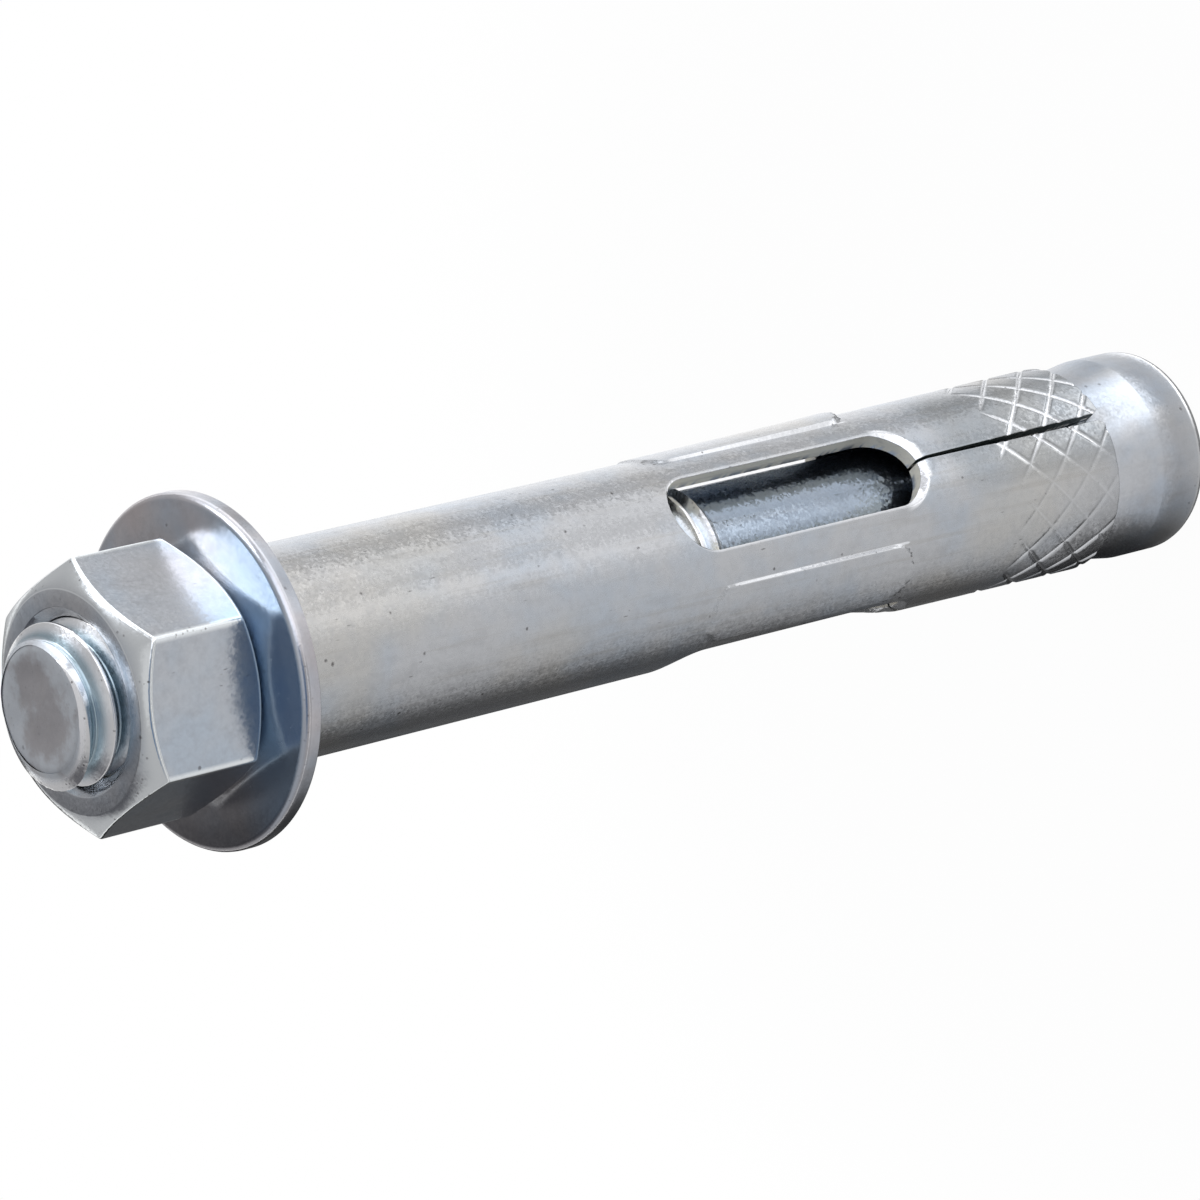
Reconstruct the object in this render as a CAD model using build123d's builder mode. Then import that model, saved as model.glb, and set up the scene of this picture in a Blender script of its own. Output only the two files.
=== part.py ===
"""Sleeve anchor, half inch by three inches, with a hexagon nut, as sold and before it is set.

Frame: the anchor stands on the flat end of its cone. The origin is the centre of that end face, +Z runs up
the axis to the nut, and -Y goes through the middle of the first window of the sleeve. Sizes in millimetres.
"""
from build123d import *
from math import cos, radians, sin, tan
import os

# Stud: one piece, threaded at the top, with the expander cone formed on its foot
anchor_length = 76.2  # from the foot to the underside of the washer
thread_diameter = 9.525
thread_length = 46.95
thread_run_out = 1.2
shank_diameter = 7.94
stick_out = 2.15  # of the stud, past the nut
tip_chamfer = 1.1  # of the stud's end, across
tip_chamfer_height = 0.55
cone_angle = 8.3  # between the cone's side and the axis
cone_land = 3.2  # the straight band at the cone's foot
cone_edge_radius = 1.0
cone_overhang = 0.15  # how far the band stands out past the plain tube of the sleeve

# Sleeve: one piece of sheet, rolled round the stud
sleeve_play = 0.2875  # between the thread and the inside of the sleeve, all round
sleeve_wall = 1.3
cone_showing = 8.2  # below the sleeve, which fills the rest of the way up to the washer
seat_clearance = 0.1  # between the cone and the taper inside the sleeve's foot
flare = 0.23  # how far the sprung fingers stand out at their tips
finger_length = 22.0
edge_break = 0.15

# Windows, each with a slit that runs on to the sleeve's foot
window_width = 5.2
window_length = 20.3
window_angles = (-90.0, 30.0, 156.7)
slit_length = 16.0
slit_root_width = 0.16
slit_tip_width = 0.5
slit_mouth_width = 1.1
slit_mouth_depth = 0.5

# Raised panels between the windows, which keep the sleeve from turning in its hole
panel_width = 4.0
panel_length = 16.5
panel_setback = 1.7  # from the cone's end of the windows to that end of the panels
panel_rise_low = 0.26  # at the cone's end
panel_rise_high = 0.1  # at the washer's end
panel_nose_radius = 1.8
panel_heel_cut = 0.9
panel_angles = (-152.7, -30.0, 93.3)

# Washer
washer_diameter = 20.9
washer_thickness = 1.3
washer_play = 0.4  # between the washer's hole and the thread, all round
washer_edge_radius = 0.45

# Hexagon nut, bored to the thread's outer size
nut_across_flats = 14.1
nut_height = 8.33
nut_face_diameter = 13.1
nut_chamfer_angle = 33.0
nut_mouth_chamfer = 0.65
nut_turn = 23.7  # of one of its corners from +X
thread_clearance = 0.03

# Places and radii that follow
thread_radius = thread_diameter / 2
shank_radius = shank_diameter / 2
sleeve_inside = thread_radius + sleeve_play
sleeve_radius = sleeve_inside + sleeve_wall
cone_radius = sleeve_radius + cone_overhang
cone_slope = tan(radians(cone_angle))
land_top = cone_edge_radius + cone_land
cone_top = land_top + (cone_radius - shank_radius) / cone_slope

sleeve_top = anchor_length
sleeve_foot = cone_showing
washer_top = sleeve_top + washer_thickness
nut_top = washer_top + nut_height
stud_top = nut_top + stick_out
thread_foot = stud_top - thread_length

window_foot = sleeve_foot + slit_length
panel_foot = window_foot + panel_setback
outside = sleeve_radius + flare + sleeve_wall  # clear of everything on the sleeve


def cone_radius_at(height):
    """Radius of the cone's side at a height above its land."""
    return cone_radius - (height - land_top) * cone_slope


def facing(angle, height):
    """Plane through the axis at a height, facing out at an angle, with its x direction up the axis."""
    return Plane(
        origin=(0, 0, height),
        x_dir=(0, 0, 1),
        z_dir=(cos(radians(angle)), sin(radians(angle)), 0),
    )


with BuildPart() as stud:
    with BuildSketch(Plane.XZ):
        with BuildLine():
            Polyline(
                (0, 0),
                (cone_radius, 0),
                (cone_radius, land_top),
                (shank_radius, cone_top),
                (shank_radius, thread_foot - thread_run_out),
                (thread_radius, thread_foot),
                (thread_radius, stud_top - tip_chamfer_height),
                (thread_radius - tip_chamfer, stud_top),
                (0, stud_top),
                close=True,
            )
        profile = make_face()
        rim = profile.vertices().group_by(Axis.Y)[0].sort_by(Axis.X)[-1]
        fillet(rim, cone_edge_radius)
    revolve(axis=Axis.Z)
stud.part.label = "stud"

# One raised panel at +X: a sector of a ring whose top slopes, cut to a rounded outline
with BuildPart() as panel:
    with BuildSketch(Plane.XZ):
        with BuildLine():
            Polyline(
                (sleeve_inside, panel_foot),
                (sleeve_radius + panel_rise_low, panel_foot),
                (sleeve_radius + panel_rise_high, panel_foot + panel_length),
                (sleeve_inside, panel_foot + panel_length),
                close=True,
            )
        make_face()
    revolve(axis=Axis.Z)
    with BuildSketch(facing(0, panel_foot + panel_length / 2)):
        Rectangle(panel_length, panel_width)
        ends = vertices().group_by(Axis.Z)
        fillet(ends[0], panel_nose_radius)
        ends = vertices().group_by(Axis.Z)
        chamfer(ends[-1], panel_heel_cut)
    extrude(amount=outside, mode=Mode.INTERSECT)

with BuildPart() as sleeve:
    with BuildSketch(Plane.XZ):
        foot_inside = cone_radius_at(sleeve_foot) + seat_clearance
        taper_top = land_top + (cone_radius + seat_clearance - sleeve_inside) / cone_slope
        with BuildLine():
            Polyline(
                (foot_inside, sleeve_foot),
                (sleeve_radius + flare - edge_break, sleeve_foot),
                (sleeve_radius + flare, sleeve_foot + edge_break),
                (sleeve_radius, sleeve_foot + finger_length),
                (sleeve_radius, sleeve_top - edge_break),
                (sleeve_radius - edge_break, sleeve_top),
                (sleeve_inside, sleeve_top),
                (sleeve_inside, taper_top),
                close=True,
            )
        make_face()
    revolve(axis=Axis.Z)
    for angle in panel_angles:
        add(panel.part.rotate(Axis.Z, angle))
    for angle in window_angles:
        with BuildSketch(facing(angle, window_foot + window_length / 2)):
            SlotOverall(window_length, window_width)
        extrude(amount=outside, mode=Mode.SUBTRACT)
        with BuildSketch(facing(angle, sleeve_foot)):
            with BuildLine():
                Polyline(
                    (-slit_mouth_depth, slit_mouth_width / 2),
                    (0, slit_mouth_width / 2),
                    (slit_mouth_depth, slit_tip_width / 2),
                    (slit_length + window_width / 2, slit_root_width / 2),
                    (slit_length + window_width / 2, -slit_root_width / 2),
                    (slit_mouth_depth, -slit_tip_width / 2),
                    (0, -slit_mouth_width / 2),
                    (-slit_mouth_depth, -slit_mouth_width / 2),
                    close=True,
                )
            make_face()
        extrude(amount=outside, mode=Mode.SUBTRACT)
sleeve.part.label = "sleeve"

with BuildPart() as washer:
    with BuildSketch(Plane.XY.offset(sleeve_top)):
        Circle(washer_diameter / 2)
        Circle(thread_radius + washer_play, mode=Mode.SUBTRACT)
    extrude(amount=washer_thickness)
    fillet(washer.edges().group_by(Axis.Z)[-1].sort_by(SortBy.RADIUS)[-1], washer_edge_radius)
washer.part.label = "washer"

with BuildPart() as hex_nut:
    with BuildSketch(Plane.XY.offset(washer_top)):
        RegularPolygon(nut_across_flats / 2, 6, major_radius=False, rotation=nut_turn)
    extrude(amount=nut_height)
    # The corners are turned off at both faces by a barrel round the axis
    with BuildSketch(Plane.XZ):
        barrel_radius = nut_across_flats / 2 / cos(radians(30)) + 1.0
        barrel_drop = (barrel_radius - nut_face_diameter / 2) * tan(radians(nut_chamfer_angle))
        with BuildLine():
            Polyline(
                (0, washer_top),
                (nut_face_diameter / 2, washer_top),
                (barrel_radius, washer_top + barrel_drop),
                (barrel_radius, nut_top - barrel_drop),
                (nut_face_diameter / 2, nut_top),
                (0, nut_top),
                close=True,
            )
        make_face()
    revolve(axis=Axis.Z, mode=Mode.INTERSECT)
    with Locations((0, 0, nut_top)):
        Hole(thread_radius + thread_clearance, nut_height)
    mouths = hex_nut.edges().filter_by(GeomType.CIRCLE).filter_by(
        lambda edge: abs(edge.radius - thread_radius - thread_clearance) < 0.001
    )
    chamfer(mouths, nut_mouth_chamfer)
hex_nut.part.label = "hex_nut"

os.makedirs("parts", exist_ok=True)
export_step(stud.part, "parts/stud.step")
export_step(sleeve.part, "parts/sleeve.step")
export_step(washer.part, "parts/washer.step")
export_step(hex_nut.part, "parts/hex_nut.step")
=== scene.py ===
"""Looks of the sleeve anchor: its four pieces as detailed surfaces in clear zinc plate, on a pale floor.

Sizes are in millimetres and angles in degrees. Points become metres when a mesh is made. Heights are
measured from the flat end of the cone, which stands on the floor, and angles turn counter-clockwise about
+Z from +X.
"""
import math

import bmesh
import bpy
import numpy as np
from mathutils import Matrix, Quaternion, Vector


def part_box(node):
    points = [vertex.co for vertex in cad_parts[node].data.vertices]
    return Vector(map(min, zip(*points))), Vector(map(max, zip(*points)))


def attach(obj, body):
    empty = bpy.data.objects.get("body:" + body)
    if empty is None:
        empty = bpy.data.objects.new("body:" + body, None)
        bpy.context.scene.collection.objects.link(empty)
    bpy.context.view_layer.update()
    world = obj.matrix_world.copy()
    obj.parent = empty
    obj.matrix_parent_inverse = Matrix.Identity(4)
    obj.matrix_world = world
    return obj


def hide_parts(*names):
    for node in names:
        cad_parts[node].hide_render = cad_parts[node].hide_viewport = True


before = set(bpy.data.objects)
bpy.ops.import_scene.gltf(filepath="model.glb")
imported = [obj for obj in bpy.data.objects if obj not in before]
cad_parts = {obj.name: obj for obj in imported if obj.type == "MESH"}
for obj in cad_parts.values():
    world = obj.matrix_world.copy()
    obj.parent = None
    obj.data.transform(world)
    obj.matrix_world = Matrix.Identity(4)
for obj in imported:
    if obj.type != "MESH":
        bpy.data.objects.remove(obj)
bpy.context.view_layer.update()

MM = 0.001


def heights(node):
    """Lowest and highest point of a node of the frame."""
    low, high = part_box(node)
    return low.z / MM, high.z / MM


# Heights that the frame gives
stud_foot, stud_top = heights("stud")
sleeve_foot, sleeve_top = heights("sleeve")
washer_foot, washer_top = heights("washer")
nut_foot, nut_top = heights("hex_nut")

# Stud
thread_radius = 4.7625
thread_pitch = 25.4 / 16
thread_depth = 0.92
thread_length = 46.95
thread_start = 1.12  # height of a crest at angle 0
thread_run_out = 1.2
crest_share = 0.13  # of the pitch
root_share = 0.2
crest_round = 0.08
root_round = 0.14
shank_radius = 3.97
tip_chamfer = 1.1  # across
tip_chamfer_height = 0.55
tip_unevenness = 0.03
tip_dish = 0.1
tip_dish_unevenness = 0.02
tip_edge_drop = 0.04
tip_wear = 0.2
tip_edge_rows = (1.0, 0.985, 0.965, 0.94, 0.91, 0.87)  # shares of the sawn end's radius
thread_undercut = 0.2
crest_wear_depth = 0.12
cone_radius = 6.5
cone_slope = math.tan(math.radians(8.3))
cone_edge_radius = 1.0
cone_land_top = 4.2
cone_land_round = 1.5
cone_neck_round = 4.0
cone_wear_width = 0.5  # of the worn band round the rim, which ends at the radius cone_wear_inside
cone_wear_inside = 5.0

# Sleeve
sleeve_radius = 6.35
sleeve_bore = 5.05
seat_clearance = 0.1
flare = 0.23
finger_length = 22.0
window_width = 5.2
window_length = 20.3
window_angles = (-90.0, 30.0, 156.7)
slit_length = 16.0
slit_root_width = 0.16
slit_tip_width = 0.5
slit_mouth_width = 1.1
slit_mouth_depth = 0.5
window_edge_width = 0.12
window_press = 0.5  # width of the pressed slope at the cone's end of a window
window_press_slope = 0.9
window_press_fade = (2.8, 0.2)  # heights above the window's foot between which the slope gets its width
window_press_wear = (0.52, 0.32)  # distances from the window between which the slope is worn
window_wear_width = 0.3
window_wear = 0.4
slit_edge_radius = 0.03
end_edge_radius = 0.2
panel_half_width = 2.0
panel_length = 16.5
panel_setback = 2.0
panel_rise_low = 0.32
panel_rise_high = 0.12
panel_nose_radius = 1.8
panel_heel_cut = 0.9
panel_step = 0.12  # how far the side of a panel slopes
panel_wear_width = 0.08
panel_angles = (-152.7, -30.0, 93.3)
knurl_starts = 14
knurl_pitch = 3.12  # between grooves of one family, along the axis
knurl_groove = 0.22  # half the width of a groove
knurl_depth = 0.11
knurl_length = 9.6
knurl_fade = 1.6
knurl_faint = 0.3  # share of the depth where the knurl is faintest
knurl_faint_angle = -130.0
knurl_faint_reach = (18, 38)  # angles from there between which the depth comes back
knurl_rising = 0.62  # height of one groove of each family at angle 0
knurl_falling = 2.54

# Rows of the sleeve where they are close: up from its foot, from a panel's foot and from a window's top,
# and down from its own top
foot_rows = (0.0, 0.01, 0.03, 0.06, 0.1, 0.15, 0.22, 0.31, 0.4, slit_mouth_depth)
knurl_row = 0.11
nose_rows = (-0.1, -0.04, 0.02, 0.08, 0.16)
window_top_rows = (0.04, 0.09, 0.15, 0.22, 0.3, 0.4, 0.6, 1.0, 1.6)
sleeve_top_rows = (0.3, 0.2, 0.15, 0.1, 0.06, 0.03, 0.01, 0.0)

# Washer and nut
washer_radius = 10.45
washer_bore = 5.1625
washer_edge_radius = 0.45
washer_flat_radius = 7.4
washer_fall_radius = 9.0
washer_fall = 0.05
washer_rim_fall = 0.17
washer_dome_rounds = (35.0, 16.0)
washer_bore_round = 0.15
washer_foot_rounds = (0.12, 0.1)
nut_across_flats = 14.1
nut_face_radius = 6.55
nut_chamfer_slope = math.tan(math.radians(33.0))
nut_edge_reach = 0.17  # of the soft edge between cone and flat, to each side
nut_edge_margin = 0.03
nut_face_edge = ((-0.12, 0.0), (-0.06, 0.006), (0.0, 0.022))  # radius from the face's edge, and drop
nut_wear = (0, 0, 0.3, 0.6, 0.4, 0.8, 1, 1, 1, 0.8, 0)  # of the rows from the bore's mouth to the flat
nut_corner_wear = 0.9
nut_mouth_radius = 5.44
nut_turn = 23.7
nut_corner_sharpness = 140.0
thread_play = 0.06

# Camera: it looks at aim, and is turned so that the nut points to the lower left
camera_aim = (-1.276, 0.525, 46.839)
camera_distance = 360.8
camera_azimuth = -22.8
camera_elevation = 39.38
camera_roll = -103.6
camera_lens = 180.0
sensor_width = 36.0

# Cards: azimuths and brightness for each ring of the card, and the ring of each of its circles of points
card_tables = (
    (
        (-140, -90, -30, 30, 90, 140, 160),
        (0.03, 0.1, 0.18, 0.3, 0.3, 0.2, 0.02),
    ),
    (
        (-130, -90, -60, -20, 0, 45, 80, 140, 160),
        (0.02, 0.15, 0.36, 0.5, 1.6, 1.7, 0.7, 0.6, 0.05),
    ),
    (
        (-125, -98, -77, -45, 0, 20, 41, 62, 82, 130, 150),
        (0.02, 0.08, 0.24, 0.48, 0.55, 0.6, 0.6, 0.75, 0.9, 0.9, 0.05),
    ),
    (
        (-140, -115, -100, -90, -80, -68, -45, -20, -8, 8, 36, 50, 62, 76, 95, 120, 145),
        (0.01, 0.03, 0.09, 0.26, 0.45, 0.56, 0.62, 0.7, 0.9, 1.9, 1.9, 1.0, 0.62, 0.68, 0.9, 0.95, 0.05),
    ),
    (
        (-175, -160, -148, -128, -110, -90, -60, -23, -10, 3)
        + (17, 30, 48, 72, 97, 120, 132, 142, 152, 170),
        (0.12, 0.09, 0.06, 0.13, 0.41, 0.59, 0.7, 0.73, 0.88, 1.16)
        + (0.68, 0.9, 1.1, 0.46, 0.98, 1.15, 1.3, 0.9, 0.02, 0.01),
    ),
    (
        (-160, -128, -105, -70, -35, -12, 35, 64, 93, 120, 145, 160),
        (0.03, 0.1, 0.4, 0.5, 0.45, 1.1, 1.6, 1.7, 1.5, 0.8, 0.5, 0.05),
    ),
)
card_radii = (5.6, 6.6, 6.75, 7.0, 7.3, 9.6, 10.4, 16.5, 19.5, 135.0, 175.0, 600.0)
card_rings = (0, 0, 1, 1, 2, 2, 3, 3, 4, 4, 5, 5)
card_height = 0.05
card_tint = (1.0, 1.01, 1.035, 1.0)
sky_grey = (0.42, 0.42, 0.43)
# Soft panels of the sky: azimuth, colour, and the sine of the lowest and the highest elevation
sky_panels = (
    (72.0, (1.1, 1.13, 1.2), -0.4, 0.92),
    (6.0, (1.4, 1.42, 1.5), -0.2, 0.92),
    (-50.0, (0.09, 0.15, 0.25), 0.36, 0.88),
    (-176.0, (0.09, 0.09, 0.1), 0.3, 0.92),
)
sky_panel_edge = (0.83, 0.97)  # cosines between which a panel's side fades in
sky_panel_fade = 0.2  # of its ends, as a sine of the elevation
floor_size = 4000.0
shadow_colour = (0.75, 0.75, 0.75, 1.0)
floor_paint = 0.03  # share of plain paint that the camera sees near the foot
shadow_reach = (30.0, 80.0)  # radii between which that share fades

# Plate: sizes of its patterns in cycles a millimetre, along x, y and z where they differ
patch_scale = 0.16
tarnish_scale = 0.11
mottle_scale = 1.6
smudge_scale = (0.5, 0.5, 0.2)
fine_scale = 6.0
drawn_scale = (3.0, 3.0, 0.12)
streak_scale = (1.6, 1.6, 0.07)
pit_scale = 0.9
scratch_scale = (2.6, 2.6, 0.55)
chip_scale = 2.4
crystal_scale = 6.0
sawn_scale = 0.45
ragged_scale = 4.0  # of the outline of a mark
rarity_scale = 0.5  # of the places where marks are many or few
knurl_end_scale = 0.3
knurl_press_scale = 0.28

# Colours of the plate's marks
cut_colour = (0.92, 0.88, 0.76)
# Near black, painted shade deep in the slits and in the nut's bore
crevice_shade_colour = (0.03, 0.05, 0.05)
dirt_colour = (0.09, 0.08, 0.08)
# Painted shade for one side of the washer, then a bluish painted reflection of the nut
painted_shade_colour = (0.18, 0.175, 0.18)
nut_reflection_colour = (0.34, 0.47, 0.62)
bar_colour = (0.34, 0.41, 0.5)
# Near white and bluish, a painted highlight over the stud's thread
thread_highlight_colour = (0.86, 0.92, 0.99)
root_colour = (0.22, 0.36, 0.42)
sawn_colours = (0.58, 0.61, 0.64), (0.36, 0.335, 0.335)
rolled_colour = (0.3, 0.32, 0.33)
# A worn edge gets this share of brightness, and so do the knurl's grooves as a painted highlight
bright_share = 1.6  # of the plate's own colour, on a worn edge
# Middle of the washer's side that is darkened with painted shade
painted_shade_angle = 150.0  # middle of the washer's darker side
rolled_angle = -77.0  # middle of the sleeve's side with greyer plate and coarser crystals

window_foot = sleeve_foot + slit_length
window_top = window_foot + window_length
knurl_lean = knurl_starts * knurl_pitch / 360  # height that a groove gains in a degree
knurl_spacing = knurl_pitch * math.cos(math.atan(knurl_lean * 360 / (2 * math.pi * sleeve_radius)))
thread_foot = stud_top - thread_length
run_out_foot = thread_foot - thread_run_out
panel_foot = window_foot + panel_setback
panel_top = panel_foot + panel_length
lathe_columns = 128
washer_columns = 192
rib_columns = 72
bore_columns = 18


def smooth(low, high, value):
    """0 below low, 1 above high, and an S-shaped cubic between."""
    share = np.clip((value - low) / (high - low), 0.0, 1.0)
    return share * share * (3 - 2 * share)


def crowded(count, low, high, places, width, strength):
    """Values from low to high, closer together near the places, with a bell of density at each place."""
    fine = np.linspace(low, high, 2000)
    density = 1 + strength * np.exp(-(((fine[:, None] - np.array(places)) / width) ** 2)).sum(axis=1)
    total = np.concatenate([[0.0], np.cumsum((density[1:] + density[:-1]) / 2)])
    return np.interp(np.linspace(0, total[-1], count), total, fine)


def rounded(corners, radii, steps=5, margin=0.02):
    """Outline through corners, each but the ends turned into an arc that is tangent to both its sides.

    One more point lies just outside each end of an arc, so that the shading of the sides stays flat.
    """
    corners = np.array(corners, float)
    points = [corners[:1]]
    for before, corner, after, radius in zip(corners[:-2], corners[1:-1], corners[2:], radii):
        back, on = before - corner, after - corner
        back, on = back / np.linalg.norm(back), on / np.linalg.norm(on)
        half = math.acos(np.clip(back @ on, -1, 1)) / 2
        reach = radius / math.tan(half)
        centre = corner + (back + on) / np.linalg.norm(back + on) * radius / math.sin(half)
        start, end = corner + back * reach - centre, corner + on * reach - centre
        turn = math.pi - 2 * half
        share = np.linspace(0, 1, steps + 1)[:, None]
        arc = centre + (np.sin((1 - share) * turn) * start + np.sin(share * turn) * end) / math.sin(turn)
        points += [[corner + back * (reach + margin)], arc, [corner + on * (reach + margin)]]
    return np.concatenate(points + [corners[-1:]])


def around(angle, radius, height):
    """Points at an angle about the axis, a radius and a height."""
    angle, radius, height = np.broadcast_arrays(np.radians(angle), radius, height)
    return np.stack([radius * np.cos(angle), radius * np.sin(angle), height], axis=-1)


def grid(points, wear_and_painted_light=0.0):
    """A sheet of quads between neighbouring points of a rows by columns grid, and the wear of each point."""
    rows, columns = points.shape[:2]
    first = (np.arange(rows - 1)[:, None] * columns + np.arange(columns - 1)).reshape(-1, 1)
    wear_and_painted_light = np.broadcast_to(wear_and_painted_light, (rows, columns)).reshape(-1)
    return points.reshape(-1, 3), first + np.array([0, 1, columns + 1, columns]), wear_and_painted_light


def halving(fine, coarse):
    """Triangles between a row of points and a parallel row that has half as many spans."""
    count = len(coarse) - 1
    j = np.arange(count)[:, None]
    near, far = 2 * j, len(fine) + j
    faces = [[near, near + 1, far], [near + 1, far + 1, far], [near + 1, near + 2, far + 1]]
    faces = np.concatenate([np.concatenate(face, axis=1) for face in faces])
    return np.concatenate([fine, coarse]), faces, np.zeros(len(fine) + len(coarse))


def cap(loop):
    """One flat face inside a loop of points."""
    return loop, np.arange(len(loop))[None, :], np.zeros(len(loop))


def turned(profile, wear_and_painted_light, columns=lathe_columns):
    """A profile of radius and height turned once round the axis."""
    angle = np.linspace(0, 360, columns + 1)
    return grid(around(angle, profile[:, :1], profile[:, 1:]), wear_and_painted_light[:, None])


def make_piece(name, sheets, body, material, crease=40.0):
    """One mesh of several sheets whose shared edges are merged, riding on a body in place of a node.

    Each point carries a value: 1 on a worn edge, up to 1 in the knurl's grooves, which get a painted
    highlight, 0 on plain surface, -1 on a cut wall, and -2 deep in a slit and in the nut's bore, which get
    painted shade.
    """
    starts = np.cumsum([0] + [len(sheet[0]) for sheet in sheets[:-1]])
    points = np.concatenate([sheet[0] for sheet in sheets]) * MM
    faces = [face for start, sheet in zip(starts, sheets) for face in (sheet[1] + start).tolist()]
    mesh = bpy.data.meshes.new(name)
    mesh.from_pydata(points.tolist(), [], faces)
    worn = np.concatenate([sheet[2] for sheet in sheets])
    mesh.attributes.new("wear_and_painted_light", "FLOAT", "POINT").data.foreach_set("value", worn.astype(np.float32))
    shell = bmesh.new()
    shell.from_mesh(mesh)
    bmesh.ops.remove_doubles(shell, verts=shell.verts, dist=3e-7)
    bmesh.ops.dissolve_degenerate(shell, edges=shell.edges, dist=1e-7)
    bmesh.ops.recalc_face_normals(shell, faces=shell.faces)
    shell.to_mesh(mesh)
    shell.free()
    mesh.shade_smooth()
    mesh.set_sharp_from_angle(angle=math.radians(crease))
    mesh.materials.append(material)
    piece = new_object(name + "_zinc", mesh)
    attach(piece, body)
    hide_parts(name)


def thread_turn():
    """One turn of the thread's rounded outline, as shares of the pitch and depths below the crest."""
    crest, root = crest_share * thread_pitch / 2, root_share * thread_pitch / 2
    middle = thread_pitch / 2
    corners = [(0, 0), (crest, 0), (middle - root, thread_depth), (middle, thread_depth)]
    side = rounded(corners, (crest_round, root_round), steps=2, margin=0.01)
    mirror = (side * (-1, 1) + (thread_pitch, 0))[::-1][1:]
    outline = np.concatenate([side, mirror])
    return outline[:, 0] / thread_pitch, outline[:, 1]


turn_share, turn_depth = thread_turn()


def thread_depth_at(angle, height):
    """Depth below the crest of a right-hand thread, whose crests rise one pitch in a turn."""
    share = ((height - thread_start) / thread_pitch - angle / 360) % 1.0
    return np.interp(share, turn_share, turn_depth)


def helical_rows(low, high, angle):
    """Angles and heights of a grid whose rows run along the thread, cut off at the heights low and high."""
    turns = np.arange(math.floor(low / thread_pitch) - 2, math.ceil(high / thread_pitch) + 1)
    share = (turns[:, None] + turn_share[:-1]).reshape(-1, 1)
    height = np.clip((share + angle / 360) * thread_pitch + thread_start, low, high)
    return np.broadcast_to(angle, height.shape), height


def shank_sheet():
    """The cone with its straight land and rounded rim, and the shank, turned from one profile."""
    cone_top = cone_land_top + (cone_radius - shank_radius) / cone_slope
    corners = [(0, stud_foot), (cone_radius, stud_foot), (cone_radius, cone_land_top)]
    corners += [(shank_radius, cone_top), (shank_radius, run_out_foot)]
    profile = rounded(corners, (cone_edge_radius, cone_land_round, cone_neck_round), steps=8)
    from_rim = profile[:, 1] - stud_foot - cone_edge_radius / 2
    return turned(profile, np.exp(-((from_rim / cone_wear_width) ** 2)) * (profile[:, 0] > cone_wear_inside))


def thread_sheet():
    """The thread along a helix: its radius is the least of its outline, its run-out and the chamfer."""
    angle, height = helical_rows(run_out_foot, stud_top, np.linspace(0, 360, lathe_columns + 1))
    depth = thread_depth_at(angle, height)
    from_foot = height - run_out_foot
    run_out = shank_radius + from_foot * (thread_radius - shank_radius) / thread_run_out
    floor_radius = shank_radius - np.minimum(from_foot, thread_undercut)
    chamfer = thread_radius - tip_chamfer + (stud_top - height) * tip_chamfer / tip_chamfer_height
    chamfer = chamfer - tip_unevenness * np.sin(np.radians(5 * angle + 60))
    radius = np.minimum(np.maximum(np.minimum(thread_radius - depth, run_out), floor_radius), chamfer)
    return grid(around(angle, radius, height), smooth(crest_wear_depth, 0.0, depth))


def tip_sheet():
    """The sawn end: a shallow uneven dish with a rolled edge that lies just below the thread's end."""
    angle = np.linspace(0, 360, lathe_columns + 1)
    edge = thread_radius - tip_chamfer
    share = np.concatenate([tip_edge_rows, np.linspace(0.8, 0.0, 9)])[:, None]
    turn = np.radians(angle)
    uneven = np.sin(3 * turn + 5 * share) + np.sin(5 * turn + 1.3 - 9 * share)
    uneven = uneven + np.sin(8 * turn + 4 * share)
    rolled = tip_edge_drop * (1 - np.sqrt(1 - smooth(0.86, 1.0, share) ** 2))
    dish = tip_dish * smooth(0.95, 0.45, share)
    dish = dish + tip_dish_unevenness * (1 + uneven / 3) * smooth(0.0, 0.6, share)
    return grid(around(angle, edge * share, stud_top - dish - rolled), tip_wear)


def washer_sheets():
    """A ring turned from its section, slightly domed, with the outer edge rolled over at the top."""
    corners = [(washer_bore, (washer_foot + washer_top) / 2), (washer_bore, washer_top)]
    corners += [(washer_flat_radius, washer_top), (washer_fall_radius, washer_top - washer_fall)]
    corners += [(washer_radius, washer_top - washer_rim_fall)]
    corners += [(washer_radius, washer_foot), (washer_bore, washer_foot)]
    corners += [(washer_bore, (washer_foot + washer_top) / 2)]
    radii = (washer_bore_round, *washer_dome_rounds, washer_edge_radius, *washer_foot_rounds)
    section = rounded(corners, radii)
    worn = smooth(washer_radius - 0.5, washer_radius - 0.2, section[:, 0])
    worn = 0.45 * worn * smooth(washer_foot, washer_top, section[:, 1])
    return [turned(section, worn, columns=washer_columns)]


def hexagon_radius(angle):
    """Radius of the nut's side: six flats joined by a high power, which rounds the corners slightly."""
    flats = np.radians(angle[..., None] - nut_turn - 30 - 60 * np.arange(6))
    reach = np.maximum(np.cos(flats), 0.0) ** nut_corner_sharpness
    return nut_across_flats / 2 / reach.sum(axis=-1) ** (1 / nut_corner_sharpness)


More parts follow.
